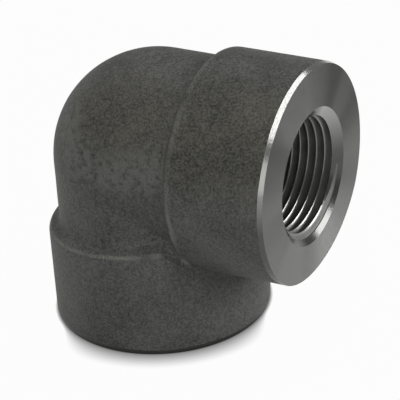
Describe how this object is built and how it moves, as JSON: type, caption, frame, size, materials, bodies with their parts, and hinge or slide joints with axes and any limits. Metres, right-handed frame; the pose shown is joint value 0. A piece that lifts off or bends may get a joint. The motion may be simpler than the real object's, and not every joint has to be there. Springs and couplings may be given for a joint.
{
  "type": "forged pipe elbow",
  "caption": "Forged steel 90 degree pipe elbow with two threaded sockets in thick round bands, a ball-shaped heel and flat turned end faces.",
  "frame": {"origin": "on the ground under the middle of the outline, where the lower end face rests", "axes": "+X out of the side socket, -Z out of the lower socket, Y across the bend"},
  "size_m": [0.0728, 0.056, 0.0728],
  "materials": {
    "forged_steel": "dark grey forging scale, matt and finely speckled, with bright turned end faces and bright cut sockets"
  },
  "bodies": {
    "root": {"forged_elbow": "forged_steel"}
  },
  "joints": []
}
